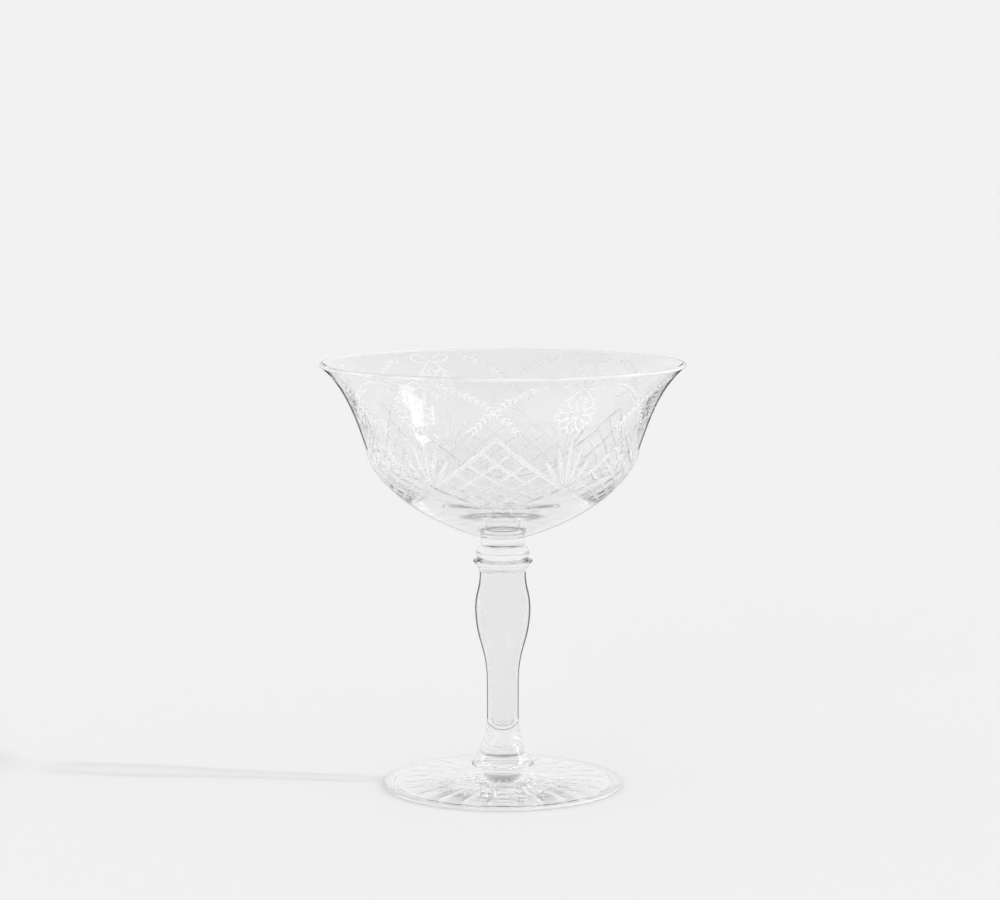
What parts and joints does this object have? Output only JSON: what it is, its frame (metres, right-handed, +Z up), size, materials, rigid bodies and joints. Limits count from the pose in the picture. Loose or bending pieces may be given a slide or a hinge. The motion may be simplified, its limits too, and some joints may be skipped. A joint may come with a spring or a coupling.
{
  "type": "champagne coupe",
  "caption": "Colourless cut and engraved crystal champagne coupe: wide flared bowl on a knopped hollow baluster stem with a disc foot.",
  "frame": {"origin": "centre of the plane that the foot stands on", "axes": "+Z up along the axis of the glass, from foot to rim; the glass is turned, so +X and +Y are alike"},
  "size_m": [0.1134, 0.1134, 0.1334],
  "materials": {
    "clear_glass": "polished, with wheel cuts and shallow engraving on the bowl and foot"
  },
  "bodies": {
    "root": {"foot": "clear_glass", "base_cone": "clear_glass", "hollow_baluster": "clear_glass", "ring_collar": "clear_glass", "knop": "clear_glass", "merese": "clear_glass", "bowl": "clear_glass"}
  },
  "joints": []
}
